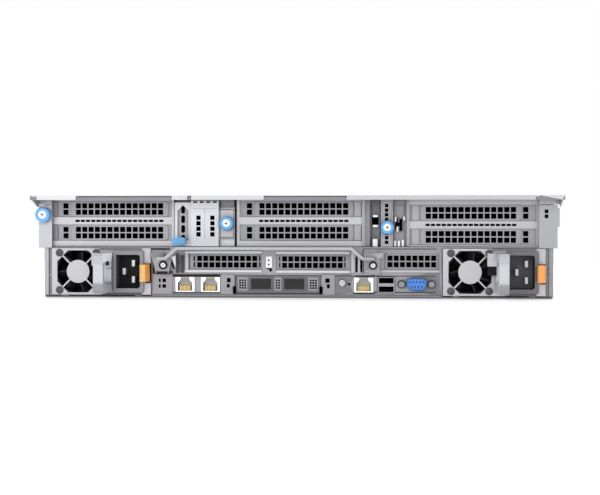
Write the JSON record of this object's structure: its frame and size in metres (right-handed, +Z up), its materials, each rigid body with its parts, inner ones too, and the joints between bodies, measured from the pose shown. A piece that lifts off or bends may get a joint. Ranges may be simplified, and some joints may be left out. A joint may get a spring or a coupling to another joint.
{
  "type": "2u rack server",
  "caption": "Rack server two units high with sliding cover, hot-swap power supplies, vented riser slots, boot cartridge, port panel, drive carriers and rack ears",
  "frame": {"origin": "on the underside, midway between the ears' mounting plane and the rear edge", "axes": "+Z up, +Y towards the drives, -Y out of the rear, +X to the right seen from the rear"},
  "size_m": [0.4826, 0.7628, 0.087],
  "materials": {
    "zinc_steel": "zinc-plated sheet, faint grain",
    "bright_plastic": "light grey moulding",
    "black_plastic": "fine moulded texture",
    "orange_plastic": "smooth moulding",
    "blue_plastic": "smooth moulding",
    "green_plastic": "translucent cap",
    "grey_plastic": "fine moulded texture",
    "board": "solder mask",
    "aluminium": "extruded"
  },
  "bodies": {
    "chassis": {"chassis_pan": "zinc_steel", "rear_header": "zinc_steel", "corner_bracket_left": "zinc_steel", "corner_bracket_right": "zinc_steel", "power_bay_frame": "zinc_steel", "io_panel": "zinc_steel", "rear_strap": "zinc_steel", "slot_covers": "zinc_steel", "riser_cage_left": "zinc_steel", "riser_cage_middle": "zinc_steel", "riser_cage_right": "zinc_steel", "riser_boards": "board", "rear_ports": "zinc_steel", "vga_port": "zinc_steel", "system_board": "board", "heatsinks": "aluminium", "memory_modules": "board", "air_baffle": "black_plastic", "fan_tray": "black_plastic", "backplane": "board", "drive_cage": "zinc_steel", "front_panel": "black_plastic", "bay_blanks": "black_plastic", "rack_ears": "zinc_steel"},
    "cover": {"main_cover": "zinc_steel"},
    "cover_latch_lever": {"cover_latch": "blue_plastic"},
    "boot_cartridge": {"boot_module": "zinc_steel", "boot_pull_tab": "blue_plastic"},
    "network_card": {"ocp_card": "zinc_steel"},
    "id_push": {"id_button": "green_plastic"},
    "power_push": {"power_button": "green_plastic"},
    "screw_corner": {"thumbscrew_corner": "blue_plastic"},
    "screw_boot": {"thumbscrew_boot": "blue_plastic"},
    "screw_column": {"thumbscrew_column": "blue_plastic"},
    "ear_lever_left": {"ear_latch_left": "black_plastic"},
    "ear_lever_right": {"ear_latch_right": "black_plastic"},
    "psu_1": {"psu_1_case": "zinc_steel", "psu_1_handle": "bright_plastic", "psu_1_inlet": "black_plastic"},
    "psu_1_latch_lever": {"psu_1_latch": "orange_plastic"},
    "psu_1_fan": {"psu_1_rotor": "black_plastic"},
    "psu_2": {"psu_2_case": "zinc_steel", "psu_2_handle": "bright_plastic", "psu_2_inlet": "black_plastic"},
    "psu_2_latch_lever": {"psu_2_latch": "orange_plastic"},
    "psu_2_fan": {"psu_2_rotor": "black_plastic"},
    "fan_1": {"fan_rotor_1": "black_plastic"},
    "fan_2": {"fan_rotor_2": "black_plastic"},
    "fan_3": {"fan_rotor_3": "black_plastic"},
    "fan_4": {"fan_rotor_4": "black_plastic"},
    "carrier_1": {"drive_1": "black_plastic"},
    "carrier_1_lever": {"drive_lever_1": "grey_plastic"},
    "carrier_2": {"drive_2": "black_plastic"},
    "carrier_2_lever": {"drive_lever_2": "grey_plastic"},
    "carrier_3": {"drive_3": "black_plastic"},
    "carrier_3_lever": {"drive_lever_3": "grey_plastic"},
    "carrier_4": {"drive_4": "black_plastic"},
    "carrier_4_lever": {"drive_lever_4": "grey_plastic"}
  },
  "joints": [
    {"name": "cover_slide", "type": "slide", "parent": "chassis", "child": "cover", "axis": [0, -1, 0], "range_m": [0, 0.017]},
    {"name": "cover_latch_turn", "type": "hinge", "parent": "cover", "child": "cover_latch_lever", "pos_m": [0, 0.094, 0.0826], "axis": [-1, 0, 0], "range_deg": [0, 70]},
    {"name": "boot_slide", "type": "slide", "parent": "chassis", "child": "boot_cartridge", "axis": [0, -1, 0], "range_m": [0, 0.112]},
    {"name": "card_slide", "type": "slide", "parent": "chassis", "child": "network_card", "axis": [0, -1, 0], "range_m": [0, 0.116]},
    {"name": "id_press", "type": "slide", "parent": "chassis", "child": "id_push", "axis": [0, 1, 0], "range_m": [0, 0.001], "stiffness_N_per_m": 400},
    {"name": "power_press", "type": "slide", "parent": "chassis", "child": "power_push", "axis": [0, -1, 0], "range_m": [0, 0.0012], "stiffness_N_per_m": 400},
    {"name": "thumbscrew_corner_turn", "type": "hinge", "parent": "chassis", "child": "screw_corner", "pos_m": [-0.2168, -0.3512, 0.0709], "axis": [0, -1, 0], "continuous": true},
    {"name": "thumbscrew_boot_turn", "type": "hinge", "parent": "chassis", "child": "screw_boot", "pos_m": [-0.0588, -0.3485, 0.0636], "axis": [0, -1, 0], "continuous": true},
    {"name": "thumbscrew_column_turn", "type": "hinge", "parent": "chassis", "child": "screw_column", "pos_m": [0.0777, -0.349, 0.0602], "axis": [0, -1, 0], "continuous": true},
    {"name": "psu_1_slide", "type": "slide", "parent": "chassis", "child": "psu_1", "axis": [0, -1, 0], "range_m": [0, 0.19]},
    {"name": "psu_1_latch_turn", "type": "hinge", "parent": "psu_1", "child": "psu_1_latch_lever", "pos_m": [-0.1279, -0.342, 0.0222], "axis": [0, 0, -1], "range_deg": [0, 6], "stiffness_Nm_per_rad": 0.3},
    {"name": "psu_1_fan_spin", "type": "hinge", "parent": "psu_1", "child": "psu_1_fan", "pos_m": [-0.1878, -0.342, 0.0222], "axis": [0, 1, 0], "continuous": true},
    {"name": "psu_2_slide", "type": "slide", "parent": "chassis", "child": "psu_2", "axis": [0, -1, 0], "range_m": [0, 0.19]},
    {"name": "psu_2_latch_turn", "type": "hinge", "parent": "psu_2", "child": "psu_2_latch_lever", "pos_m": [0.2073, -0.342, 0.0222], "axis": [0, 0, -1], "range_deg": [0, 6], "stiffness_Nm_per_rad": 0.3},
    {"name": "psu_2_fan_spin", "type": "hinge", "parent": "psu_2", "child": "psu_2_fan", "pos_m": [0.1474, -0.342, 0.0222], "axis": [0, 1, 0], "continuous": true},
    {"name": "fan_1_spin", "type": "hinge", "parent": "chassis", "child": "fan_1", "pos_m": [-0.156, 0.138, 0.0428], "axis": [0, 1, 0], "continuous": true},
    {"name": "fan_2_spin", "type": "hinge", "parent": "chassis", "child": "fan_2", "pos_m": [-0.052, 0.138, 0.0428], "axis": [0, 1, 0], "continuous": true},
    {"name": "fan_3_spin", "type": "hinge", "parent": "chassis", "child": "fan_3", "pos_m": [0.052, 0.138, 0.0428], "axis": [0, 1, 0], "continuous": true},
    {"name": "fan_4_spin", "type": "hinge", "parent": "chassis", "child": "fan_4", "pos_m": [0.156, 0.138, 0.0428], "axis": [0, 1, 0], "continuous": true},
    {"name": "carrier_1_slide", "type": "slide", "parent": "chassis", "child": "carrier_1", "axis": [0, 1, 0], "range_m": [0, 0.165]},
    {"name": "carrier_1_lever_turn", "type": "hinge", "parent": "carrier_1", "child": "carrier_1_lever", "pos_m": [-0.114, 0.3674, 0.01605], "axis": [0, 0, -1], "range_deg": [0, 55]},
    {"name": "carrier_2_slide", "type": "slide", "parent": "chassis", "child": "carrier_2", "axis": [0, 1, 0], "range_m": [0, 0.165]},
    {"name": "carrier_2_lever_turn", "type": "hinge", "parent": "carrier_2", "child": "carrier_2_lever", "pos_m": [-0.008, 0.3674, 0.01605], "axis": [0, 0, -1], "range_deg": [0, 55]},
    {"name": "carrier_3_slide", "type": "slide", "parent": "chassis", "child": "carrier_3", "axis": [0, 1, 0], "range_m": [0, 0.165]},
    {"name": "carrier_3_lever_turn", "type": "hinge", "parent": "carrier_3", "child": "carrier_3_lever", "pos_m": [0.098, 0.3674, 0.01605], "axis": [0, 0, -1], "range_deg": [0, 55]},
    {"name": "carrier_4_slide", "type": "slide", "parent": "chassis", "child": "carrier_4", "axis": [0, 1, 0], "range_m": [0, 0.165]},
    {"name": "carrier_4_lever_turn", "type": "hinge", "parent": "carrier_4", "child": "carrier_4_lever", "pos_m": [0.204, 0.3674, 0.01605], "axis": [0, 0, -1], "range_deg": [0, 55]},
    {"name": "ear_left_turn", "type": "hinge", "parent": "chassis", "child": "ear_lever_left", "pos_m": [-0.2224, 0.3682, 0.036], "axis": [0, 0, -1], "range_deg": [0, 70]},
    {"name": "ear_right_turn", "type": "hinge", "parent": "chassis", "child": "ear_lever_right", "pos_m": [0.2224, 0.3682, 0.036], "axis": [0, 0, 1], "range_deg": [0, 70]}
  ],
  "couplings": [
    {"joint": "cover_latch_turn", "follows": "cover_slide", "rad_per_m": 71.795}
  ]
}
